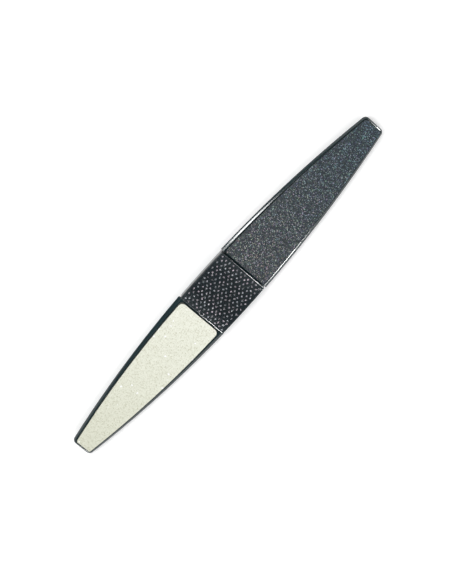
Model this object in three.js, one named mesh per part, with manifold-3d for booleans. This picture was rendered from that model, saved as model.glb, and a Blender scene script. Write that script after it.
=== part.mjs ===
// Double-ended nail buffer. A moulded frame carries a padded working face in a tray at each end
// of both sides, and two stippled covers close round its waist as the grip.
// Millimetres, +Z up, X along the tool with the grey filing end at +X. The grip stands a little
// proud of the working faces, so the tool lies on the raised points of its rear cover.
import * as THREE from 'three';
import { mergeGeometries, mergeVertices } from 'three/addons/utils/BufferGeometryUtils.js';
import Module from 'manifold-3d';

// Whole tool, heights measured from the middle plane
const LENGTH = 178;
const WIDTH = 24.1;
const TIP_WIDTH = 9.4;
const TIP_CORNER = 1.6;
const FACE_HEIGHT = 2.4;

// Frame: rims round the trays, web under them, bevelled sides that slim towards the tips
const RIM_HEIGHT = 1.25;
const EDGE_HEIGHT = 0.1;
const WEB_HEIGHT = 0.7;
const BEVEL_AT_MIDDLE = 1.2;
const BEVEL_AT_TIP = 0.7;
const CROSS_RIM = 0.4;

// Trays: greatest width and its distance from the middle, width of the side arcs carried on to
// the end of the tool, distance from that end, and the corner radii at the grip and at the tip
const FILING_TRAY = { width: 20.7, apex: 3.4, tipWidth: 7.6, end: 0.82, corner: 0.7, tipCorner: 1 };
const BUFFING_TRAY = { width: 19.9, apex: 10.5, tipWidth: 7.2, end: 1.34, corner: 1.9, tipCorner: 0.6 };

// Working faces: adhesive film, foam cushion and a thin sheet, stacked in each tray
const FILM_THICKNESS = 0.2;
const SHEET_THICKNESS = 0.4;
const PAD_GAP = 0.15;

// Grip covers
const COVER_LENGTH = 25.2;
const COVER_INSET = 0.6;
const COVER_WALL = 1.5;
const COVER_CEILING = 1.25;
const COVER_FACE = 2.8;
const COVER_CHAMFER = 0.15;
const COVER_ROUND = 0.3;
const COVER_PARTING = 0.05;
const END_GROOVE = 0.25;

// Stippled points of the grip, in staggered columns
const POINT_RADIUS = 0.58;
const POINT_HEIGHT = 0.4;
const POINT_SINK = 0.1;
const POINT_COLUMN = 1.4;
const POINT_ROW = 1.95;
const POINT_MARGIN = 0.9;

// Waist of the frame and the pins that lock the covers through it
const WAIST_WIDTH = 18;
const RIB_THICKNESS = 1.2;
const PIN_RADIUS = 1.1;
const PIN_REACH = 1.8;
const PIN_X = 7.5;
const PIN_Y = 4.5;
const SOCKET_RADIUS = 2.1;
const SOCKET_BORE = 1.25;
const SOCKET_FLOOR = 1.9;
const SOCKET_TOP = 0.85;
const PIN_HOLE = 1.5;

// Facets
const BOAT_STEPS = 28;
const PAD_STEPS = 12;
const CORNER_STEPS = 4;
const COVER_STEPS = 6;
const PIN_SIDES = 14;
const POINT_SIDES = 6;
const OVERLAP = 0.3;

const HALF_LENGTH = LENGTH / 2;
const COVER_HALF = COVER_LENGTH / 2;
const HEAD_START = COVER_HALF + END_GROOVE;
const TRAY_START = HEAD_START + CROSS_RIM;
const REST_HEIGHT = COVER_FACE + POINT_HEIGHT;

const wasm = await Module();
wasm.setup();

// Closed geometry to a solid that can be joined and cut
function solid(geometry) {
  const bare = geometry.clone();
  bare.deleteAttribute('normal');
  bare.deleteAttribute('uv');
  const merged = mergeVertices(bare, 1e-5);
  const vertProperties = new Float32Array(merged.attributes.position.array);
  const triVerts = new Uint32Array(merged.index.array);
  return new wasm.Manifold(new wasm.Mesh({ numProp: 3, vertProperties, triVerts }));
}

function geometryOf(body) {
  const { vertProperties, triVerts } = body.getMesh();
  const geometry = new THREE.BufferGeometry();
  geometry.setAttribute('position', new THREE.BufferAttribute(new Float32Array(vertProperties), 3));
  geometry.setIndex(new THREE.BufferAttribute(new Uint32Array(triVerts), 1));
  geometry.computeVertexNormals();
  return geometry;
}

function plastic(colour, roughness) {
  return new THREE.MeshStandardMaterial({ color: colour, roughness, metalness: 0 });
}

function piece(name, geometry, material) {
  const mesh = new THREE.Mesh(geometry, material);
  mesh.name = name;
  return mesh;
}

function box(from, to) {
  const size = to.map((value, axis) => value - from[axis]);
  const centre = to.map((value, axis) => (value + from[axis]) / 2);
  return new THREE.BoxGeometry(...size).translate(...centre);
}

function post(radius, low, high, x, y) {
  const upright = new THREE.CylinderGeometry(radius, radius, high - low, PIN_SIDES);
  return upright.rotateX(Math.PI / 2).translate(x, y, (low + high) / 2);
}

// A long side is a single circular arc, given by its half width at the apex and at the tool's end
function sideArc(widest, atEnd, apex) {
  const drop = widest - atEnd;
  const reach = HALF_LENGTH - apex;
  const radius = (reach ** 2 + drop ** 2) / (2 * drop);
  return { radius, centre: widest - radius, apex };
}

// The tool's own side, drawn in by an inset at the middle and at the tip
function toolArc(insetAtMiddle, insetAtTip) {
  return sideArc(WIDTH / 2 - insetAtMiddle, TIP_WIDTH / 2 - insetAtTip, 0);
}

function widthAt(arc, x) {
  return arc.centre + Math.sqrt(arc.radius ** 2 - (x - arc.apex) ** 2);
}

// Outline between two square ends with rounded corners, both sides following the arc
function outline(arc, from, to, cornerFrom, cornerTo, steps) {
  const upper = [];
  const put = (x, cut) => upper.push(new THREE.Vector2(x, widthAt(arc, x) - cut));
  const corner = (end, radius, outward, step) => {
    const turn = (step / CORNER_STEPS) * (Math.PI / 2);
    put(end - outward * radius * (1 - Math.sin(turn)), radius * (1 - Math.cos(turn)));
  };
  for (let step = CORNER_STEPS; step > 0; step--) {
    corner(to, cornerTo, 1, step);
  }
  for (let step = 0; step <= steps; step++) {
    put(THREE.MathUtils.lerp(to - cornerTo, from + cornerFrom, step / steps), 0);
  }
  for (let step = 1; step <= CORNER_STEPS; step++) {
    corner(from, cornerFrom, -1, step);
  }
  const lower = upper.map((point) => new THREE.Vector2(point.x, -point.y)).reverse();
  return [...upper, ...lower];
}

function slab(points, low, high) {
  const settings = { depth: high - low, bevelEnabled: false };
  return new THREE.ExtrudeGeometry(new THREE.Shape(points), settings).translate(0, 0, low);
}

// Closed skin through rings of equal count, with a fan over each end
function loft(rings) {
  const count = rings[0].length;
  const points = rings.flat();
  const index = [];
  for (let ring = 0; ring < rings.length - 1; ring++) {
    for (let i = 0; i < count; i++) {
      const near = ring * count + i;
      const next = ring * count + ((i + 1) % count);
      index.push(near, next, next + count, near, next + count, near + count);
    }
  }
  const last = (rings.length - 1) * count;
  for (let i = 0; i < count; i++) {
    const next = (i + 1) % count;
    index.push(points.length, next, i, points.length + 1, last + i, last + next);
  }
  for (const end of [rings[0], rings[rings.length - 1]]) {
    const sum = end.reduce((total, point) => total.add(point), new THREE.Vector3());
    points.push(sum.divideScalar(count));
  }
  const geometry = new THREE.BufferGeometry().setFromPoints(points);
  geometry.setIndex(index);
  return geometry;
}

// Boat-shaped blank of the frame: rims at full height, sides bevelled out to a narrow edge
function frameBlank() {
  const widest = outline(toolArc(0, 0), -HALF_LENGTH, HALF_LENGTH, TIP_CORNER, TIP_CORNER, BOAT_STEPS);
  const topEnd = HALF_LENGTH - BEVEL_AT_TIP;
  const topCorner = TIP_CORNER - BEVEL_AT_TIP;
  const topArc = toolArc(BEVEL_AT_MIDDLE, BEVEL_AT_TIP);
  const top = outline(topArc, -topEnd, topEnd, topCorner, topCorner, BOAT_STEPS);
  const ring = (points, height) => points.map((point) => new THREE.Vector3(point.x, point.y, height));
  const rings = [ring(top, -RIM_HEIGHT), ring(widest, -EDGE_HEIGHT)];
  rings.push(ring(widest, EDGE_HEIGHT), ring(top, RIM_HEIGHT));
  return solid(loft(rings));
}

// Outline of a tray at the +X end, or of the pad that fills it when drawn in by the gap
function trayOutline(tray, gap) {
  const arc = sideArc(tray.width / 2 - gap, tray.tipWidth / 2 - gap, tray.apex);
  const end = HALF_LENGTH - tray.end - gap;
  return outline(arc, TRAY_START + gap, end, tray.corner, tray.tipCorner, PAD_STEPS);
}

// Web and three ribs that carry the load between the two heads, with holes for the cover pins
function waist() {
  const reach = HEAD_START + OVERLAP;
  const side = WAIST_WIDTH / 2;
  let body = solid(box([-reach, -side, -WEB_HEIGHT], [reach, side, WEB_HEIGHT]));
  for (const y of [-side + RIB_THICKNESS / 2, 0, side - RIB_THICKNESS / 2]) {
    const half = RIB_THICKNESS / 2;
    body = body.add(solid(box([-reach, y - half, -COVER_CEILING], [reach, y + half, COVER_CEILING])));
  }
  for (const [x, y] of pinPlaces()) {
    body = body.subtract(solid(post(PIN_HOLE, -RIM_HEIGHT, RIM_HEIGHT, x, y)));
  }
  return body;
}

function pinPlaces() {
  return [-PIN_X, PIN_X].flatMap((x) => [-PIN_Y, PIN_Y].map((y) => [x, y]));
}

function coreFrame() {
  const clear = [HEAD_START, WIDTH, 2 * RIM_HEIGHT];
  const opening = box(clear.map((value) => -value), clear);
  let body = frameBlank().subtract(solid(opening)).add(waist());
  for (const [tray, turn] of [[FILING_TRAY, 0], [BUFFING_TRAY, Math.PI]]) {
    const points = trayOutline(tray, 0);
    const front = slab(points, WEB_HEIGHT, 2 * RIM_HEIGHT).rotateZ(turn);
    const rear = slab(points, -2 * RIM_HEIGHT, -WEB_HEIGHT).rotateZ(turn);
    body = body.subtract(solid(front)).subtract(solid(rear));
  }
  return piece('core_frame', geometryOf(body), plastic(0x1d2628, 0.24));
}

// Section of a front cover at x: flat base, upright walls, small chamfers and a flat face
function coverSection(x, inset) {
  const half = widthAt(toolArc(COVER_INSET, COVER_INSET), x) - inset;
  const face = COVER_FACE - inset;
  const section = [
    [-half, COVER_PARTING],
    [half, COVER_PARTING],
    [half, face - COVER_CHAMFER],
    [half - COVER_CHAMFER, face],
    [COVER_CHAMFER - half, face],
    [-half, face - COVER_CHAMFER],
  ];
  return section.map(([y, z]) => new THREE.Vector3(x, y, z));
}

// Blank of a front cover along X, its end edges rounded
function coverBlank() {
  const rings = [];
  const straight = COVER_HALF - COVER_ROUND;
  for (let step = 0; step <= COVER_STEPS; step++) {
    rings.push(coverSection(THREE.MathUtils.lerp(-straight, straight, step / COVER_STEPS), 0));
  }
  for (let step = 1; step <= CORNER_STEPS; step++) {
    const turn = (step / CORNER_STEPS) * (Math.PI / 2);
    const x = straight + COVER_ROUND * Math.sin(turn);
    const inset = COVER_ROUND * (1 - Math.cos(turn));
    rings.push(coverSection(x, inset));
    rings.unshift(coverSection(-x, inset));
  }
  return solid(loft(rings));
}

// Low six-sided points over the whole face, every second column shifted by half a row
function stipple() {
  const reach = WIDTH / 2 - COVER_INSET - COVER_CHAMFER;
  const columns = Math.floor((COVER_HALF - POINT_MARGIN) / POINT_COLUMN);
  const rows = Math.floor((reach - POINT_MARGIN) / POINT_ROW);
  const tall = POINT_HEIGHT + POINT_SINK;
  const points = [];
  for (let column = -columns; column <= columns; column++) {
    const shifted = Math.abs(column % 2) / 2;
    for (let row = -rows; row <= rows - 2 * shifted; row++) {
      const point = new THREE.ConeGeometry(POINT_RADIUS, tall, POINT_SIDES).rotateX(Math.PI / 2);
      const y = (row + shifted) * POINT_ROW;
      points.push(point.translate(column * POINT_COLUMN, y, COVER_FACE - POINT_SINK + tall / 2));
    }
  }
  return solid(mergeGeometries(points));
}

// Stippled channel shared by both covers, open below and at its ends, modelled face up
function coverShell() {
  const inner = WIDTH / 2 - COVER_INSET - COVER_WALL;
  const channel = box([-LENGTH, -inner, -RIM_HEIGHT], [LENGTH, inner, COVER_CEILING]);
  return coverBlank().subtract(solid(channel)).add(stipple());
}

// The front cover has four pins that pass through the waist
function frontGripCover(material) {
  let body = coverShell();
  for (const [x, y] of pinPlaces()) {
    body = body.add(solid(post(PIN_RADIUS, -PIN_REACH, COVER_CEILING + OVERLAP, x, y)));
  }
  return piece('front_grip_cover', geometryOf(body), material);
}

// The rear cover has four sockets that take the pins; it is the shell turned over
function rearGripCover(material) {
  let body = coverShell();
  for (const [x, y] of pinPlaces()) {
    body = body.add(solid(post(SOCKET_RADIUS, SOCKET_TOP, COVER_CEILING + OVERLAP, x, y)));
    body = body.subtract(solid(post(SOCKET_BORE, 0, SOCKET_FLOOR, x, y)));
  }
  return piece('rear_grip_cover', geometryOf(body).rotateX(Math.PI), material);
}

// Film, foam and sheet of one working face, built up from the web towards +Z or -Z
function workingFace(name, tray, side, sheetMaterial) {
  const points = trayOutline(tray, PAD_GAP);
  const levels = [WEB_HEIGHT, WEB_HEIGHT + FILM_THICKNESS, FACE_HEIGHT - SHEET_THICKNESS, FACE_HEIGHT];
  const layers = [
    ['adhesive_film', plastic(0xd9d6c8, 0.5)],
    ['foam_cushion', plastic(0x25292b, 0.95)],
    ['sheet', sheetMaterial],
  ];
  return layers.map(([layer, material], i) => {
    const [low, high] = [side * levels[i], side * levels[i + 1]].sort((a, b) => a - b);
    return piece(`${name}_${layer}`, slab(points, low, high), material);
  });
}

// Both working faces of one head, modelled at +X and turned to the other end where needed
function head(end, tray, turn, sheetMaterial) {
  const group = new THREE.Group();
  group.add(...workingFace(`front_${end}`, tray, 1, sheetMaterial()));
  group.add(...workingFace(`rear_${end}`, tray, -1, sheetMaterial()));
  group.rotation.z = turn;
  return group;
}

const nailBuffer = new THREE.Group();
nailBuffer.add(coreFrame());
nailBuffer.add(frontGripCover(plastic(0x22292c, 0.22)));
nailBuffer.add(rearGripCover(plastic(0x22292c, 0.22)));
nailBuffer.add(head('filing', FILING_TRAY, 0, () => plastic(0x50575b, 0.6)));
nailBuffer.add(head('buffing', BUFFING_TRAY, Math.PI, () => plastic(0xe6e9dc, 0.75)));
nailBuffer.position.z = REST_HEIGHT;

export default nailBuffer;
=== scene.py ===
import bmesh
import bpy
import math
from mathutils import Matrix, Vector


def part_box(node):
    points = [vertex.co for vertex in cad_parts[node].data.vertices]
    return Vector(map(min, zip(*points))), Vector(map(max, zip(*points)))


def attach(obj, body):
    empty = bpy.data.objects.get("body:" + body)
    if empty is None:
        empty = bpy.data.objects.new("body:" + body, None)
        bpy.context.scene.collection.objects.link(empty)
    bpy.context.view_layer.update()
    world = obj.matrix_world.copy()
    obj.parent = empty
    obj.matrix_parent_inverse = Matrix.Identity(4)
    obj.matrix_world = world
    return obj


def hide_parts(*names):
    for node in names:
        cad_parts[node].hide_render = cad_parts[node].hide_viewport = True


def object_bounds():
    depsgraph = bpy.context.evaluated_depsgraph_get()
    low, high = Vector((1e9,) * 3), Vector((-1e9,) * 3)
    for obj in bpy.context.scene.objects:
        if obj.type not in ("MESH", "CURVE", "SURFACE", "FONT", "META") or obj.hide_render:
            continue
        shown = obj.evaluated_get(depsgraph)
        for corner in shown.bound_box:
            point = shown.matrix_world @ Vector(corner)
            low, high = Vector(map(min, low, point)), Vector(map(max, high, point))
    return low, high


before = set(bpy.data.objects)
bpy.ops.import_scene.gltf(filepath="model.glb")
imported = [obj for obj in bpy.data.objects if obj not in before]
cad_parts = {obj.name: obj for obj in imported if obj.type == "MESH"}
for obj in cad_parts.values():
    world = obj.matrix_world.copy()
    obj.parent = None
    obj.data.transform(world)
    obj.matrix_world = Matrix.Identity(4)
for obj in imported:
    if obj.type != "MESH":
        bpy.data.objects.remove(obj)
cad_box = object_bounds()
bpy.ops.object.select_all(action="DESELECT")

# Sizes read from the frame, in metres
MM = 0.001
HALF_LENGTH = cad_box[1].x
MIDDLE = cad_box[1].z / 2
cover_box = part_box("front_grip_cover")
COVER_HALF = cover_box[1].x
COVER_HALF_WIDTH = cover_box[1].y
RIM_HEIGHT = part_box("core_frame")[1].z - MIDDLE
PAD_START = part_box("front_filing_sheet")[0].x
PAD_END = {
    "filing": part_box("front_filing_sheet")[1].x,
    "buffing": -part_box("front_buffing_sheet")[0].x,
}
FACE_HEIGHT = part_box("front_filing_sheet")[1].z - MIDDLE
SHEET_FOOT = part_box("front_filing_sheet")[0].z - MIDDLE
FOAM_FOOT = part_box("front_filing_foam_cushion")[0].z - MIDDLE
WEB_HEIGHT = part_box("front_filing_adhesive_film")[0].z - MIDDLE

# Long sides as arcs: half width at the widest place, half width at the tool's end, and how far from
# the middle the widest place is
COVER_INSET = 0.597 * MM
HALF_WIDTH = COVER_HALF_WIDTH + COVER_INSET
TIP_HALF_WIDTH = 4.7 * MM
BEVEL_AT_MIDDLE = 1.2 * MM
BEVEL_AT_TIP = 0.7 * MM
EDGE_ARC = (HALF_WIDTH, TIP_HALF_WIDTH, 0)
RIM_ARC = (HALF_WIDTH - BEVEL_AT_MIDDLE, TIP_HALF_WIDTH - BEVEL_AT_TIP, 0)
COVER_ARC = (COVER_HALF_WIDTH, TIP_HALF_WIDTH - COVER_INSET, 0)
TRAY_ARC = {
    "filing": (10.35 * MM, 3.8 * MM, 3.4 * MM),
    "buffing": (9.85 * MM, 3.35 * MM, 10.5 * MM),
}

# Ends, corners and edges of the heads
TIP_CORNER = 1.6 * MM
EDGE_HEIGHT = 0.1 * MM
TIP_EDGE_RISE = 0.4 * MM
GRIP_CORNER = {"filing": 0.7 * MM, "buffing": 1.9 * MM}
PAD_TIP_CORNER = {"filing": 1.0 * MM, "buffing": 0.6 * MM}
PAD_GAP = 0.15 * MM
END_GROOVE = 0.25 * MM
HEAD_START = COVER_HALF + END_GROOVE
SHOULDER_ROUND = 0.1 * MM
TRAY_EDGE_ROUND = 0.04 * MM
SHEET_EDGE_ROUND = 0.07 * MM
FOAM_BULGE = 0.08 * MM

# Bevelled side in shares of its width and height: where its slope changes, and the start, the bend
# and the end of its rounded top
RIM_KNEE = (0.45, 0.51)
RIM_ROUND = ((0.84, 0.858), (1, 1), (1.06, 1))

# Grip covers and the waist that they close round
COVER_WALL = 1.45 * MM
COVER_FACE = 2.8 * MM
COVER_CORNER = 0.45 * MM
COVER_PARTING = 0.05 * MM
COVER_END_CORNER = 0.6 * MM
WAIST_HALF_WIDTH = 9.0 * MM
RIB_THICKNESS = 1.2 * MM
RIB_HEIGHT = 1.2 * MM
PIN_PLACES = [(x * MM, y * MM) for x in (-7.5, 7.5) for y in (-4.5, 4.5)]
PIN_ROOT = COVER_FACE - COVER_WALL / 2
PIN_RADIUS = 1.1 * MM
PIN_HOLE = 1.5 * MM
PIN_REACH = 1.8 * MM
SOCKET_RADIUS = 2.1 * MM
SOCKET_BORE = 1.25 * MM
SOCKET_TOP = 0.85 * MM
SOCKET_FLOOR = 1.9 * MM

# Flat border inside a cover's rounded edge, as a share of the way that the rounding draws in
COVER_BORDER = 1.1

# Raised points of the grip, and how far each wanders out of line: the angle that the wander turns by,
# in radians, from one column and from one row to the next
POINT_RADIUS = 0.56 * MM
POINT_HEIGHT = 0.39 * MM
POINT_SINK = 0.1 * MM
POINT_COLUMN = 1.4 * MM
POINT_ROW = 1.95 * MM
POINT_MARGIN = 0.9 * MM
POINT_WANDER = 0.2 * MM
WANDER_ALONG = (2.4, 4.1)
WANDER_ACROSS = (3.7, -1.9)

# Edges sharper than this many degrees stay crisp; a sheet's flat face is kept apart from its round
FRAME_CREASE = 28
COVER_CREASE = 40
SHEET_CREASE = 10
FOAM_CREASE = 40

# How finely the curves are stepped
SIDE_STEPS = 20
CORNER_STEPS = 6
RIM_STEPS = 4
ROUND_STEPS = 3
POST_SIDES = 32
POINT_SIDES = 12
POINT_RINGS = 8

# How near two places count as the same one, and two points are merged
NEAR = 0.002 * MM
WELD = 0.001 * MM

# Upward part of a normal over which a face counts as flat and under which it counts as upright, and
# the least turn between a sheet's face and its side, in degrees
FLAT = 0.99
UPRIGHT = 0.1
SHEET_EDGE_TURN = 60


# Small helpers for modelling

def named(name):
    piece = bpy.context.object
    piece.name = name
    piece.data.name = name
    return piece


def duplicate(piece, name):
    """A copy of a piece, with its own mesh."""
    made = piece.copy()
    made.data = piece.data.copy()
    made.name = made.data.name = name
    bpy.context.collection.objects.link(made)
    return made


def activate(piece):
    bpy.ops.object.select_all(action="DESELECT")
    piece.select_set(True)
    bpy.context.view_layer.objects.active = piece


def edit(piece):
    """Opens a piece in edit mode with all of it selected."""
    activate(piece)
    bpy.ops.object.mode_set(mode="EDIT")
    bpy.ops.mesh.select_mode(type="VERT")
    bpy.ops.mesh.select_all(action="SELECT")


def leave_edit():
    bpy.ops.object.mode_set(mode="OBJECT")


def pick(piece, kind, test):
    """Selects, in edit mode, only the verts, edges or faces that pass the test."""
    bpy.ops.mesh.select_mode(type={"verts": "VERT", "edges": "EDGE", "faces": "FACE"}[kind])
    bpy.ops.mesh.select_all(action="DESELECT")
    mesh = bmesh.from_edit_mesh(piece.data)
    mesh.normal_update()
    for element in getattr(mesh, kind):
        if test(element):
            element.select_set(True)
    mesh.select_flush_mode()
    bmesh.update_edit_mesh(piece.data)


def at(value, target):
    return abs(value - target) < NEAR


def level(element, height):
    """True for an edge or a face that lies all at one height."""
    return all(at(vert.co.z, height) for vert in element.verts)


def extrude(x=0.0, z=0.0):
    bpy.ops.mesh.extrude_region_move(TRANSFORM_OT_translate={"value": (x, 0, z)})


def round_over(piece, radius, test):
    """Rounds, in edit mode, the edges that pass the test."""
    pick(piece, "edges", test)
    bpy.ops.mesh.bevel(offset=radius, segments=ROUND_STEPS, affect="EDGES")


def modify(piece, kind, **settings):
    activate(piece)
    modifier = piece.modifiers.new(kind.title(), kind)
    for key, value in settings.items():
        setattr(modifier, key, value)
    bpy.ops.object.modifier_apply(modifier=modifier.name)


def combine(piece, other, operation):
    modify(piece, "BOOLEAN", object=other, operation=operation, solver="EXACT")
    bpy.data.objects.remove(other)


def join(name, pieces):
    bpy.ops.object.select_all(action="DESELECT")
    for piece in pieces:
        piece.select_set(True)
    bpy.context.view_layer.objects.active = pieces[0]
    bpy.ops.object.join()
    return named(name)


def face_outwards(piece):
    edit(piece)
    bpy.ops.mesh.normals_make_consistent(inside=False)
    leave_edit()


def thicken(piece, height):
    """Raises a flat strip straight up into a solid."""
    edit(piece)
    extrude(z=height)
    leave_edit()
    face_outwards(piece)


def weld(piece):
    """Merges points that a boolean left almost on top of each other."""
    edit(piece)
    bpy.ops.mesh.remove_doubles(threshold=WELD)
    leave_edit()


def lift(piece):
    """Takes a piece modelled about the middle plane up to where the tool lies."""
    edit(piece)
    bpy.ops.transform.translate(value=(0, 0, MIDDLE))
    leave_edit()


def turn(piece, axis):
    """Half a turn about an axis of the tool."""
    edit(piece)
    bpy.ops.transform.rotate(value=math.pi, orient_axis=axis, center_override=(0, 0, 0))
    leave_edit()


def smooth(piece, degrees):
    activate(piece)
    bpy.ops.object.shade_smooth_by_angle(angle=math.radians(degrees))


def dress(piece, finish):
    piece.data.materials.clear()
    piece.data.materials.append(finish.material)


def hand_in(piece, node, finish):
    dress(piece, finish)
    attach(piece, "root")
    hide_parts(node)


# Outline of the tool

def half_width(x, arc, inset=0.0):
    """Half the width at x of an outline with arcs for sides, drawn in by an inset."""
    widest, at_end, apex = arc
    drop = widest - at_end
    radius = ((HALF_LENGTH - apex) ** 2 + drop ** 2) / (2 * drop)
    return widest - inset - radius + math.sqrt(radius ** 2 - (x - apex) ** 2)


def quarter_turn():
    """Angles from 0 to a right angle, in the steps of a rounded corner."""
    return [math.pi / 2 * step / CORNER_STEPS for step in range(CORNER_STEPS + 1)]


def stations(start, stop, corner_start, corner_stop, arc, inset=0.0):
    """Places along the tool with the half width at each, rounded at the corners of both ends."""
    cuts = []
    for angle in quarter_turn()[:-1] if corner_start else ():
        cuts.append((start + corner_start * (1 - math.cos(angle)), corner_start * (1 - math.sin(angle))))
    for step in range(SIDE_STEPS + 1):
        along = step / SIDE_STEPS
        cuts.append(((start + corner_start) * (1 - along) + (stop - corner_stop) * along, 0))
    for angle in quarter_turn()[1:] if corner_stop else ():
        cuts.append((stop - corner_stop * (1 - math.sin(angle)), corner_stop * (1 - math.cos(angle))))
    return [(x, half_width(x, arc, inset) - cut) for x, cut in cuts]


def pad_places(end, gap):
    """Outline of a tray, or of the pad that leaves a gap round it, at the +X end."""
    return stations(
        PAD_START - PAD_GAP + gap, PAD_END[end] + PAD_GAP - gap,
        GRIP_CORNER[end], PAD_TIP_CORNER[end], TRAY_ARC[end], gap)


def strip(name, places, height):
    """A flat strip: one edge, extruded along the tool and scaled to the width at each place."""
    bpy.ops.mesh.primitive_plane_add(size=2)
    piece = named(name)
    edit(piece)
    # The plane's edge at x = -1 stays; it runs from y = -1 to y = 1
    pick(piece, "verts", lambda vert: vert.co.x > 0)
    bpy.ops.mesh.delete(type="VERT")
    bpy.ops.mesh.select_mode(type="EDGE")
    bpy.ops.mesh.select_all(action="SELECT")
    x, half = places[0]
    bpy.ops.transform.translate(value=(x + 1, 0, height))
    bpy.ops.transform.resize(value=(1, half, 1), center_override=(x, 0, height))
    for next_x, next_half in places[1:]:
        extrude(x=next_x - x)
        bpy.ops.transform.resize(value=(1, next_half / half, 1), center_override=(next_x, 0, height))
        x, half = next_x, next_half
    leave_edit()
    return piece


def raise_rings(piece, base, outer, inner, rings, height):
    """Raises a strip ring by ring, drawing each place in by a share of the way to an inner outline."""
    edit(piece)
    ring = [Vector((x, half, base)) for x, half in outer]

    def on_ring(vert):
        return any(at(vert.co.x, place.x) and at(vert.co.z, place.z) for place in ring)

    for share, rise in rings:
        extrude(z=EDGE_HEIGHT)
        for index, (outer_place, inner_place) in enumerate(zip(outer, inner)):
            old = ring[index] + Vector((0, 0, EDGE_HEIGHT))
            x, half = Vector(outer_place).lerp(Vector(inner_place), share)
            new = Vector((x, half, height(outer_place[0], rise)))
            pick(piece, "verts", lambda vert: at(vert.co.x, old.x) and at(vert.co.z, old.z))
            bpy.ops.transform.resize(value=(1, new.y / old.y, 1), center_override=(old.x, 0, old.z))
            bpy.ops.transform.translate(value=(new.x - old.x, 0, new.z - old.z))
            ring[index] = new
        pick(piece, "faces", lambda face: all(on_ring(vert) for vert in face.verts))
    leave_edit()
    face_outwards(piece)


# Frame: two heads with trays, and the ribbed waist between them

def rim_profile():
    """Shares of the bevel's width and height at each ring, from the outer edge over the rounded rim."""
    rings = [Vector((0, 0)), Vector(RIM_KNEE)]
    start, bend, stop = (Vector(place) for place in RIM_ROUND)
    for step in range(RIM_STEPS + 1):
        along = step / RIM_STEPS
        rings.append(start.lerp(bend, along).lerp(bend.lerp(stop, along), along))
    return rings


def rim_height(x, rise):
    """Height of a ring above the middle plane; the outer edge rises round the corners of the tip."""
    foot = EDGE_HEIGHT + TIP_EDGE_RISE * max(0, (x - HALF_LENGTH + TIP_CORNER) / TIP_CORNER)
    return foot + rise * (RIM_HEIGHT - foot)


def bevelled_blank(name):
    """Upper half of a head before its tray is cut."""
    edge_places = stations(HEAD_START, HALF_LENGTH, 0, TIP_CORNER, EDGE_ARC)
    rim_places = stations(HEAD_START, HALF_LENGTH - BEVEL_AT_TIP, 0, TIP_CORNER - BEVEL_AT_TIP, RIM_ARC)
    piece = strip(name, edge_places, 0)
    raise_rings(piece, 0, edge_places, rim_places, rim_profile(), rim_height)
    return piece


def soften_head(piece):
    """Rounds the tray's mouth and the top of the shoulder at the grip."""
    def corner(edge):
        tilts = [face.normal.z for face in edge.link_faces]
        meets_flat = any(tilt > FLAT for tilt in tilts)
        meets_upright = any(abs(tilt) < UPRIGHT for tilt in tilts)
        return level(edge, RIM_HEIGHT) and meets_flat and meets_upright

    def shoulder(edge):
        return all(at(vert.co.x, HEAD_START) for vert in edge.verts)

    round_over(piece, TRAY_EDGE_ROUND, lambda edge: corner(edge) and not shoulder(edge))
    round_over(piece, SHOULDER_ROUND, lambda edge: corner(edge) and shoulder(edge))


def head(name, end):
    """One head about the middle plane: its upper half is modelled and then mirrored."""
    piece = bevelled_blank(name)
    tray = strip("tray", pad_places(end, 0), WEB_HEIGHT)
    thicken(tray, RIM_HEIGHT)
    combine(piece, tray, "DIFFERENCE")
    edit(piece)
    soften_head(piece)
    pick(piece, "faces", lambda face: level(face, 0))
    bpy.ops.mesh.delete(type="FACE")
    leave_edit()
    modify(piece, "MIRROR", use_axis=(False, False, True), use_clip=True, merge_threshold=NEAR)
    face_outwards(piece)
    return piece


def block(name, low, high):
    bpy.ops.mesh.primitive_cube_add(size=1)
    piece = named(name)
    low, high = Vector(low), Vector(high)
    edit(piece)
    bpy.ops.transform.resize(value=high - low, center_override=(0, 0, 0))
    bpy.ops.transform.translate(value=(low + high) / 2)
    leave_edit()
    return piece


def post(name, radius, low, high, place):
    bpy.ops.mesh.primitive_cylinder_add(vertices=POST_SIDES, radius=radius, depth=high - low)
    piece = named(name)
    edit(piece)
    bpy.ops.transform.translate(value=(*place, (low + high) / 2))
    leave_edit()
    return piece


def waist():
    """Web and ribs between the heads, with the holes that the cover pins pass through."""
    reach = PAD_START - 2 * PAD_GAP
    side = WAIST_HALF_WIDTH
    web = block("waist", (-reach, -side, -WEB_HEIGHT), (reach, side, WEB_HEIGHT))
    half = RIB_THICKNESS / 2
    for y in (half - side, 0, side - half):
        rib = block("rib", (-reach, y - half, -RIB_HEIGHT), (reach, y + half, RIB_HEIGHT))
        combine(web, rib, "UNION")
    for place in PIN_PLACES:
        combine(web, post("hole", PIN_HOLE, -RIM_HEIGHT, RIM_HEIGHT, place), "DIFFERENCE")
    return web


def frame_moulding(finish):
    moulding = head("frame_moulding", "filing")
    other = head("buffing_head", "buffing")
    turn(other, "Z")
    combine(moulding, waist(), "UNION")
    combine(moulding, other, "UNION")
    lift(moulding)
    smooth(moulding, FRAME_CREASE)
    hand_in(moulding, "core_frame", finish)


# Grip covers

def cover_places(inset, corner):
    reach = COVER_HALF - inset
    return stations(-reach, reach, corner, corner, COVER_ARC, inset)


def cover_height(x, rise):
    """Height of a ring above the middle plane, the same at every x."""
    return COVER_FACE - COVER_CORNER * (1 - rise)


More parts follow.
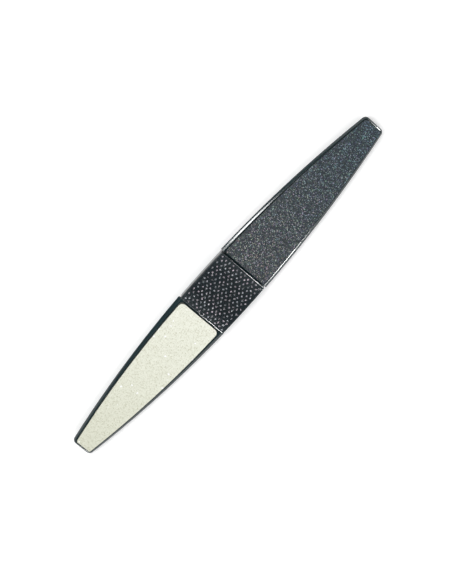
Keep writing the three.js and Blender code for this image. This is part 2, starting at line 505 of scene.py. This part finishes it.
def cover_shell(name):
    """A block with rounded upper edges, hollowed from below to leave its wall."""
    rings = [(1 - math.cos(angle), math.sin(angle)) for angle in quarter_turn()]
    rings.append((COVER_BORDER, 1))
    outer = cover_places(0, COVER_END_CORNER)
    inner = cover_places(COVER_CORNER, COVER_END_CORNER - COVER_CORNER)
    piece = strip(name, outer, COVER_PARTING)
    raise_rings(piece, COVER_PARTING, outer, inner, rings, cover_height)
    reach = COVER_HALF + END_GROOVE
    hollow = strip("hollow", stations(-reach, reach, 0, 0, COVER_ARC, COVER_WALL), -COVER_WALL)
    thicken(hollow, COVER_FACE)
    combine(piece, hollow, "DIFFERENCE")
    return piece


def raised_point():
    """One low dome, cut off a little below the face that it stands on."""
    bpy.ops.mesh.primitive_uv_sphere_add(
        segments=POINT_SIDES, ring_count=POINT_RINGS, radius=POINT_RADIUS)
    piece = named("raised_point")
    edit(piece)
    bpy.ops.transform.resize(value=(1, 1, POINT_HEIGHT / POINT_RADIUS), center_override=(0, 0, 0))
    bpy.ops.mesh.bisect(
        plane_co=(0, 0, -POINT_SINK), plane_no=(0, 0, 1), use_fill=True, clear_inner=True)
    leave_edit()
    return piece


def wander(turns, column, row):
    """Angle of a point's wander, in radians."""
    return turns[0] * column + turns[1] * row


def stipple():
    """Staggered columns of raised points over the grip's face, each a little out of line."""
    columns = int((COVER_HALF - POINT_MARGIN) / POINT_COLUMN)
    rows = int((COVER_HALF_WIDTH - COVER_CORNER - POINT_MARGIN) / POINT_ROW)
    pattern = raised_point()
    points = []
    for column in range(-columns, columns + 1):
        shift = column % 2 / 2
        for row in range(-rows, rows + 1 - int(2 * shift)):
            x = column * POINT_COLUMN + POINT_WANDER * math.sin(wander(WANDER_ALONG, column, row))
            y = (row + shift) * POINT_ROW + POINT_WANDER * math.cos(wander(WANDER_ACROSS, column, row))
            point = duplicate(pattern, "point")
            point.data.transform(Matrix.Translation((x, y, COVER_FACE)))
            points.append(point)
    bpy.data.objects.remove(pattern)
    return join("stipple", points)


def grip_covers(finish):
    """Front cover with pins, and the same cover turned over with sockets."""
    front = cover_shell("front_cover")
    combine(front, stipple(), "UNION")
    rear = duplicate(front, "rear_cover")
    for place in PIN_PLACES:
        combine(front, post("pin", PIN_RADIUS, -PIN_REACH, PIN_ROOT, place), "UNION")
        combine(rear, post("socket", SOCKET_RADIUS, SOCKET_TOP, PIN_ROOT, place), "UNION")
        combine(rear, post("bore", SOCKET_BORE, 0, SOCKET_FLOOR, place), "DIFFERENCE")
    turn(rear, "X")
    for cover, node in ((front, "front_grip_cover"), (rear, "rear_grip_cover")):
        weld(cover)
        lift(cover)
        smooth(cover, COVER_CREASE)
        hand_in(cover, node, finish)


# Working faces

def sheet(name, end):
    """Thin sheet with its upper edge rounded over."""
    piece = strip(name, pad_places(end, PAD_GAP), SHEET_FOOT)
    thicken(piece, FACE_HEIGHT - SHEET_FOOT)
    edit(piece)
    turned = math.radians(SHEET_EDGE_TURN)
    round_over(
        piece, SHEET_EDGE_ROUND,
        lambda edge: level(edge, FACE_HEIGHT) and edge.calc_face_angle() > turned)
    leave_edit()
    return piece


def foam(name, end):
    """Foam cushion whose sides swell a little between the film and the sheet."""
    piece = strip(name, pad_places(end, PAD_GAP), FOAM_FOOT)
    edit(piece)
    rise = (SHEET_FOOT - FOAM_FOOT) / CORNER_STEPS
    swell = [FOAM_BULGE * math.sin(math.pi * step / CORNER_STEPS) for step in range(CORNER_STEPS + 1)]
    centre = ((PAD_START + PAD_END[end]) / 2, 0, 0)
    reach = (PAD_END[end] - PAD_START) / 2
    for before, after in zip(swell, swell[1:]):
        extrude(z=rise)
        factor_x = (reach + after) / (reach + before)
        factor_y = (HALF_WIDTH + after) / (HALF_WIDTH + before)
        bpy.ops.transform.resize(value=(factor_x, factor_y, 1), center_override=centre)
    leave_edit()
    face_outwards(piece)
    return piece


def working_faces(end, sheet_finish, foam_finish, film_finish):
    """Both faces of one head; the rear sheet and foam are copies of the front ones, turned over."""
    tops = {"front": sheet(f"front_{end}_face", end)}
    cushions = {"front": foam(f"front_{end}_cushion", end)}
    for pieces, kind in ((tops, "face"), (cushions, "cushion")):
        if end == "buffing":
            turn(pieces["front"], "Z")
        pieces["rear"] = duplicate(pieces["front"], f"rear_{end}_{kind}")
        turn(pieces["rear"], "X")
    for side in ("front", "rear"):
        top, cushion = tops[side], cushions[side]
        for piece, crease in ((top, SHEET_CREASE), (cushion, FOAM_CREASE)):
            lift(piece)
            smooth(piece, crease)
        hand_in(top, f"{side}_{end}_sheet", sheet_finish)
        hand_in(cushion, f"{side}_{end}_foam_cushion", foam_finish)
        dress(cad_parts[f"{side}_{end}_adhesive_film"], film_finish)


# Finishes: a noise is given as its size in metres and its detail, a ramp as places from 0 to 1 with the
# level or colour at each, and a relief as its depth in metres and its strength
WHITE = (1, 1, 1)

# Black mouldings: shade and roughness of each, and the shares of them that their patterns range over
FRAME_BLACK = (0.005, 0.021, 0.025)
FRAME_ROUGHNESS = 0.14
GRIP_BLACK = (0.003, 0.008, 0.011)
GRIP_ROUGHNESS = 0.16
MOULDING_SPECULAR = 0.5
FLOW_NOISE = (9 * MM, 3)
FLOW_SHARES = ((0.3, 0.8), (0.7, 1.2))
HANDLING_NOISE = (1.6 * MM, 5)
HANDLING_SHARES = ((0.3, 0.85), (0.75, 1.2))
SKIN_NOISE = (0.5 * MM, 3)
SKIN_RELIEF = (0.002 * MM, 1.0)

# Painted highlights on the raised points, from their start to their full strength up a height that
# wavers, and a painted sheen between the points; both grow towards the grip's ends
HIGHLIGHT_START = COVER_FACE + 0.52 * MM
HIGHLIGHT_FULL = COVER_FACE + 0.66 * MM
WAVER_NOISE = (0.45 * MM, 2)
WAVER_HEIGHT = 0.5 * MM
HIGHLIGHT_ALONG = ((0.4, 0.6), (0.95, 1.0))
HIGHLIGHT_PATCH_NOISE = (0.9 * MM, 1)
HIGHLIGHT_PATCHES = ((0.36, 0.25), (0.62, 1.0))
HIGHLIGHT_CAST_NOISE = (2.3 * MM, 1)
HIGHLIGHT_CASTS = ((0.4, (0.70, 0.57, 0.67)), (0.6, (0.57, 0.60, 0.67)))
SHEEN_NOISE = (0.5 * MM, 2)
SHEEN_PATCHES = ((0.4, 0.1), (0.65, 1.0))
SHEEN_ALONG = ((0.5, 0.02), (1.0, 0.09))
SHEEN_COLOUR = (0.44, 0.52, 0.55)

# Grey abrasive
GRIT_SPECULAR = 0.4
GRIT_GRAIN = 0.24 * MM
# Grain tones; the palest grains are painted glints
GRIT_TONES_AND_GLINTS = (
    (0.1, (0.008, 0.019, 0.027)),
    (0.55, (0.024, 0.043, 0.057)),
    (0.75, (0.131, 0.150, 0.165)),
    (0.877, (0.84, 0.81, 0.80)),
    (1.0, (1.0, 0.98, 0.97)),
)
# Each grain darker towards its edge: the dark bond between grains, and painted shade of the grain's
# rounding
GRIT_BOND_AND_EDGE_SHADE = ((0.25, 1.0), (0.65, 0.5))
GRIT_HUE_GRAIN = 0.45 * MM
GRIT_HUE_SHARE = 0.4
# Painted shade: the pad darker and bluer towards the tool's end
GRIT_TIP_SHADE = ((0, WHITE), (1, (0.43, 0.71, 0.84)))
GRIT_ROUGHNESS = ((0.2, 0.72), (0.9, 0.45))
GRIT_RELIEF = (0.06 * MM, 0.7)
BOND_NOISE = (0.2 * MM, 2)
BOND_RELIEF = (0.02 * MM, 0.5)

# Cream polishing coat
CREAM_SPECULAR = 0.3
CREAM_ROUGHNESS = 0.78
CREAM_GRAIN = 0.32 * MM
CREAM_SHADES = ((0.05, (0.55, 0.545, 0.41)), (0.35, (0.77, 0.785, 0.675)), (1.0, (0.89, 0.90, 0.80)))
CREAM_FINE_NOISE = (0.16 * MM, 3)
CREAM_FINE_LEVELS = ((0.3, 0.89), (0.6, 1.04))
# Painted shade: the cream darker towards the tool's end
CREAM_TIP_SHADE = ((0, WHITE), (1, (0.845, 0.845, 0.80)))
CREAM_TOOTH_NOISE = (0.3 * MM, 3)
CREAM_TOOTH_RELIEF = (0.03 * MM, 0.6)
# Sparkles: a few cells painted white as glints
SPARKLE_GRAIN = 0.7 * MM
SPARKLE_CHANCE = (0.994, 0.996)

# Foam and adhesive film
FOAM_SPECULAR = 0.2
FOAM_ROUGHNESS = 0.92
FOAM_CELL = 0.28 * MM
# Painted shade: each pore darker towards its middle
FOAM_PORE_SHADE = ((0.1, (0.008, 0.010, 0.011)), (0.6, (0.026, 0.031, 0.033)))
FOAM_RELIEF = (0.06 * MM, 0.8)
FILM_SPECULAR = 0.4
FILM_ROUGHNESS = 0.5
FILM_NOISE = (0.6 * MM, 4)
FILM_SHADES = ((0.3, (0.60, 0.58, 0.50)), (0.7, (0.72, 0.70, 0.62)))
FILM_RELIEF = (0.02 * MM, 0.5)

# Places of the factor, the two colours and the mixed colour among a mix node's sockets
MIX_INPUTS = (0, 6, 7)
MIX_OUTPUT = 2


class Finish:
    """A material with one principled shader and short ways to add its texture nodes."""

    def __init__(self, name, specular):
        self.material = bpy.data.materials.new(name)
        self.material.use_nodes = True
        self.nodes = self.material.node_tree.nodes
        self.links = self.material.node_tree.links
        self.shader = self.nodes["Principled BSDF"]
        self.wire(specular, "Specular IOR Level")
        self.coordinates = self.node("ShaderNodeTexCoord").outputs["Object"]

    def put(self, value, socket):
        """Links another node to a socket, or writes a plain level or colour there."""
        if isinstance(value, bpy.types.NodeSocket):
            self.links.new(value, socket)
        elif isinstance(value, tuple):
            socket.default_value = (*value, 1)
        else:
            socket.default_value = value

    def wire(self, value, socket):
        self.put(value, self.shader.inputs[socket])

    def node(self, kind, **inputs):
        made = self.nodes.new(kind)
        for key, value in inputs.items():
            self.put(value, made.inputs[key.replace("_", " ")])
        return made

    def noise(self, size, detail):
        """Soft noise whose patches are about size across, in metres."""
        made = self.node("ShaderNodeTexNoise", Vector=self.coordinates, Scale=1 / size, Detail=detail)
        return made.outputs["Fac"]

    def grains(self, size):
        """Cells about size across: Color is random for each, and Distance is from its middle."""
        return self.node("ShaderNodeTexVoronoi", Vector=self.coordinates, Scale=1 / size).outputs

    def ramp(self, value, stops):
        made = self.node("ShaderNodeValToRGB", Fac=value)
        elements = made.color_ramp.elements
        while len(elements) < len(stops):
            elements.new(0.5)
        for element, (place, colour) in zip(elements, stops):
            element.position = place
            element.color = (*colour, 1) if isinstance(colour, tuple) else (colour, colour, colour, 1)
        return made.outputs["Color"]

    def mix(self, factor, first, second, blend="MIX"):
        made = self.node("ShaderNodeMix")
        made.data_type = "RGBA"
        made.blend_type = blend
        for index, value in zip(MIX_INPUTS, (factor, first, second)):
            self.put(value, made.inputs[index])
        return made.outputs[MIX_OUTPUT]

    def tint(self, first, second):
        """One colour multiplied by another."""
        return self.mix(1.0, first, second, "MULTIPLY")

    def calculate(self, operation, *values):
        """Result of one arithmetic operation."""
        made = self.node("ShaderNodeMath")
        made.operation = operation
        for socket, value in zip(made.inputs, values):
            self.put(value, socket)
        return made.outputs["Value"]

    def from_middle(self, axis, middle=0.0):
        """Distance from a plane across an axis, in metres."""
        place = self.node("ShaderNodeSeparateXYZ", Vector=self.coordinates).outputs[axis]
        return self.calculate("ABSOLUTE", self.calculate("SUBTRACT", place, middle))

    def between(self, value, low, high):
        """0 at the low value, 1 at the high one."""
        made = self.node("ShaderNodeMapRange", Value=value, From_Min=low, From_Max=high)
        return made.outputs["Result"]

    def along_pad(self):
        """0 where the pads start by the grip, 1 at the tool's ends."""
        return self.between(self.from_middle("X"), PAD_START, HALF_LENGTH)

    def bump(self, height, depth, strength, **under):
        """Surface relief, on top of another relief where one is given as Normal."""
        made = self.node("ShaderNodeBump", Height=height, Distance=depth, Strength=strength, **under)
        return made.outputs["Normal"]


def black_moulding(name, shade, roughness):
    """Black moulding with slightly uneven gloss, and its colour, which has a faint flow pattern."""
    finish = Finish(name, MOULDING_SPECULAR)
    shades = [(place, tuple(share * channel for channel in shade)) for place, share in FLOW_SHARES]
    colour = finish.ramp(finish.noise(*FLOW_NOISE), shades)
    handling = [(place, share * roughness) for place, share in HANDLING_SHARES]
    finish.wire(finish.ramp(finish.noise(*HANDLING_NOISE), handling), "Roughness")
    finish.wire(finish.bump(finish.noise(*SKIN_NOISE), *SKIN_RELIEF), "Normal")
    return finish, colour


def frame_gloss():
    """Black with a teal cast."""
    finish, colour = black_moulding("frame_gloss", FRAME_BLACK, FRAME_ROUGHNESS)
    finish.wire(colour, "Base Color")
    return finish


def stippled_grip():
    """Black, with painted highlights on the tops of the raised points and a painted sheen between them,
    most of all near the grip's ends.
    """
    finish, colour = black_moulding("grip_gloss", GRIP_BLACK, GRIP_ROUGHNESS)
    # Painted highlight: the tops of the raised points are painted pale, in patches and in two tints
    waver = finish.calculate("MULTIPLY", finish.noise(*WAVER_NOISE), WAVER_HEIGHT)
    height = finish.calculate("ADD", finish.from_middle("Z", MIDDLE), waver)
    tops = finish.between(height, HIGHLIGHT_START, HIGHLIGHT_FULL)
    along = finish.between(finish.from_middle("X"), 0, COVER_HALF)
    ends = finish.ramp(along, HIGHLIGHT_ALONG)
    patches = finish.ramp(finish.noise(*HIGHLIGHT_PATCH_NOISE), HIGHLIGHT_PATCHES)
    painted_highlight = finish.calculate("MULTIPLY", finish.calculate("MULTIPLY", tops, ends), patches)
    cast = finish.ramp(finish.noise(*HIGHLIGHT_CAST_NOISE), HIGHLIGHT_CASTS)
    # Painted sheen: a pale haze between the points, growing towards the grip's ends
    sheen = finish.ramp(finish.noise(*SHEEN_NOISE), SHEEN_PATCHES)
    painted_sheen = finish.calculate("MULTIPLY", sheen, finish.ramp(along, SHEEN_ALONG))
    ground = finish.mix(painted_sheen, colour, SHEEN_COLOUR)
    finish.wire(finish.mix(painted_highlight, ground, cast), "Base Color")
    return finish


def filing_grit():
    """Grey abrasive: grains of many shades in a dark teal bond, the palest painted in as glints; grain
    edges darkened by the bond and by painted shade, and painted shade towards the end.
    """
    finish = Finish("filing_grit", GRIT_SPECULAR)
    grain = finish.grains(GRIT_GRAIN)
    # The palest grains are painted glints
    body = finish.ramp(grain["Color"], GRIT_TONES_AND_GLINTS)
    # Grains darker towards their edges: the bond, and painted shade of their rounding
    bond_and_edge_shaded = finish.tint(body, finish.ramp(grain["Distance"], GRIT_BOND_AND_EDGE_SHADE))
    hue = finish.mix(GRIT_HUE_SHARE, WHITE, finish.grains(GRIT_HUE_GRAIN)["Color"])
    # Painted shade towards the tool's end
    cast = finish.ramp(finish.along_pad(), GRIT_TIP_SHADE)
    finish.wire(finish.tint(finish.tint(bond_and_edge_shaded, hue), cast), "Base Color")
    finish.wire(finish.ramp(grain["Color"], GRIT_ROUGHNESS), "Roughness")
    rough = finish.bump(grain["Distance"], *GRIT_RELIEF)
    finish.wire(finish.bump(finish.noise(*BOND_NOISE), *BOND_RELIEF, Normal=rough), "Normal")
    return finish


def buffing_cream():
    """Cream polishing coat: pale grains with darker ones between them, and a soft tooth; painted shade
    darkens it towards the tool's end, and a few white cells are painted glints.
    """
    finish = Finish("buffing_cream", CREAM_SPECULAR)
    finish.wire(CREAM_ROUGHNESS, "Roughness")
    body = finish.ramp(finish.grains(CREAM_GRAIN)["Color"], CREAM_SHADES)
    fine = finish.ramp(finish.noise(*CREAM_FINE_NOISE), CREAM_FINE_LEVELS)
    # Painted shade towards the tool's end
    tip_shaded = finish.ramp(finish.along_pad(), CREAM_TIP_SHADE)
    colour = finish.tint(finish.tint(body, fine), tip_shaded)
    # Painted glints: a few cells turned white
    spark = finish.grains(SPARKLE_GRAIN)["Color"]
    chance = finish.node("ShaderNodeSeparateColor", Color=spark).outputs["Red"]
    sparkle = finish.between(chance, *SPARKLE_CHANCE)
    finish.wire(finish.mix(sparkle, colour, WHITE), "Base Color")
    finish.wire(finish.bump(finish.noise(*CREAM_TOOTH_NOISE), *CREAM_TOOTH_RELIEF), "Normal")
    return finish


def cell_foam():
    """Dark closed-cell foam with small pores, painted darker in their middles as shade in the hollows.
    """
    finish = Finish("cell_foam", FOAM_SPECULAR)
    finish.wire(FOAM_ROUGHNESS, "Roughness")
    pores = finish.grains(FOAM_CELL)["Distance"]
    finish.wire(finish.ramp(pores, FOAM_PORE_SHADE), "Base Color")
    finish.wire(finish.bump(pores, *FOAM_RELIEF), "Normal")
    return finish


def adhesive_film():
    """Pale adhesive film, cloudy with the fibres of its carrier."""
    finish = Finish("adhesive_film", FILM_SPECULAR)
    finish.wire(FILM_ROUGHNESS, "Roughness")
    fibres = finish.noise(*FILM_NOISE)
    finish.wire(finish.ramp(fibres, FILM_SHADES), "Base Color")
    finish.wire(finish.bump(fibres, *FILM_RELIEF), "Normal")
    return finish


# Camera at the photograph's angle, over the tool and a little towards its grey end and left side
IMAGE_SIZE = (452, 584)
FOCAL_PIXELS = 1125.8
SENSOR = 36.0
CLIP_START = 0.01
CAMERA_DISTANCE = 0.45
TILT_ALONG = math.radians(11.37)
TILT_ACROSS = math.radians(9.75)
ROLL = math.radians(-48.80)
AIM = Vector((0.83 * MM, -1.22 * MM, MIDDLE))


def add_camera():
    along, across = math.sin(TILT_ALONG), math.sin(TILT_ACROSS)
    back = Vector((along, across, math.sqrt(1 - along ** 2 - across ** 2)))
    sideways = Vector((math.cos(ROLL), math.sin(ROLL), 0))
    right = (sideways - back * sideways.dot(back)).normalized()
    up = back.cross(right)
    data = bpy.data.cameras.new("camera")
    data.sensor_width = SENSOR
    data.lens = FOCAL_PIXELS / max(IMAGE_SIZE) * SENSOR
    data.clip_start = CLIP_START
    camera = bpy.data.objects.new("camera", data)
    bpy.context.collection.objects.link(camera)
    placing = Matrix((right, up, back)).transposed().to_4x4()
    placing.translation = AIM + CAMERA_DISTANCE * back
    camera.matrix_world = placing
    bpy.context.scene.camera = camera


# White floor, which looks a little brighter than it is lit, more so far from the tool
FLOOR_SIZE = 6.0
FLOOR_DROP = 0.05 * MM
FLOOR_SPECULAR = 0.1
FLOOR_ROUGHNESS = 0.9
FLOOR_WHITE = (0.96, 0.96, 0.96)
FLOOR_LIFT = 0.25
FLOOR_LIFT_FAR = 0.75
FLOOR_NEAR = 0.15
FLOOR_FAR = 0.6

# Dim world, and a key lamp with four soft boxes round the tool: compass angle from +X and elevation in
# degrees, distance, width and height in metres, and radiance
WORLD_LEVEL = 0.25
LAMPS = [
    ("key", 90, 65, 0.32, 0.14, 0.14, 5.3),
    ("box_far_left", 135, 45, 1.0, 0.70, 0.60, 1.4),
    ("box_near_left", 45, 45, 1.0, 0.70, 0.60, 1.4),
    ("box_far_right", 225, 45, 1.0, 0.70, 0.60, 1.9),
    ("box_near_right", 315, 45, 1.0, 0.70, 0.60, 1.9),
]

# Small low lamps that draw the glints on the edges and add no light to dull surfaces
GLINTS = [
    ("glint_left", 92.1, 16, 0.6, 0.07, 0.13, 34.0),
    ("glint_right", 266.8, 10, 0.6, 0.065, 0.19, 76.0),
    ("glint_near", 346.8, 11, 0.6, 0.065, 0.20, 76.0),
    ("glint_tip", 351.7, 9, 0.6, 0.05, 0.13, 14.0),
    ("glint_far", 193.1, 9, 0.6, 0.065, 0.16, 110.0),
]


def white_floor():
    finish = Finish("white_floor", FLOOR_SPECULAR)
    finish.wire(FLOOR_ROUGHNESS, "Roughness")
    finish.wire(FLOOR_WHITE, "Base Color")
    rays = finish.node("ShaderNodeLightPath").outputs
    seen = finish.calculate("MAXIMUM", rays["Is Camera Ray"], rays["Is Glossy Ray"])
    seen = finish.calculate("MAXIMUM", seen, rays["Is Transmission Ray"])
    length = finish.node("ShaderNodeVectorMath", Vector=finish.coordinates)
    length.operation = "LENGTH"
    far = finish.between(length.outputs["Value"], FLOOR_NEAR, FLOOR_FAR)
    added = finish.calculate("MULTIPLY_ADD", far, FLOOR_LIFT_FAR - FLOOR_LIFT, FLOOR_LIFT)
    finish.wire(WHITE, "Emission Color")
    finish.wire(finish.calculate("MULTIPLY", seen, added), "Emission Strength")
    return finish


def add_floor():
    bpy.ops.mesh.primitive_plane_add(size=FLOOR_SIZE, location=(0, 0, -FLOOR_DROP))
    floor = named("floor")
    dress(floor, white_floor())


def add_lamp(name, compass, elevation, distance, width, height, radiance):
    turned, raised = math.radians(compass), math.radians(elevation)
    towards = Vector((
        math.cos(raised) * math.cos(turned), math.cos(raised) * math.sin(turned), math.sin(raised)))
    data = bpy.data.lights.new(name, "AREA")
    data.shape = "RECTANGLE"
    data.size = width
    data.size_y = height
    data.energy = radiance * math.pi * width * height
    lamp = bpy.data.objects.new(name, data)
    lamp.location = towards * distance
    lamp.rotation_mode = "QUATERNION"
    lamp.rotation_quaternion = towards.to_track_quat("Z", "Y")
    bpy.context.collection.objects.link(lamp)
    return lamp


def add_light():
    world = bpy.data.worlds.new("studio")
    world.use_nodes = True
    background = world.node_tree.nodes["Background"].inputs
    background["Strength"].default_value = WORLD_LEVEL
    background["Color"].default_value = (*WHITE, 1)
    bpy.context.scene.world = world
    for lamp in LAMPS:
        add_lamp(*lamp)
    for glint in GLINTS:
        add_lamp(*glint).visible_diffuse = False


add_camera()
frame_moulding(frame_gloss())
grip_covers(stippled_grip())
foam_finish = cell_foam()
film_finish = adhesive_film()
for end, sheet_finish in (("filing", filing_grit()), ("buffing", buffing_cream())):
    working_faces(end, sheet_finish, foam_finish, film_finish)
add_floor()
add_light()
bpy.context.scene.view_settings.view_transform = "Standard"
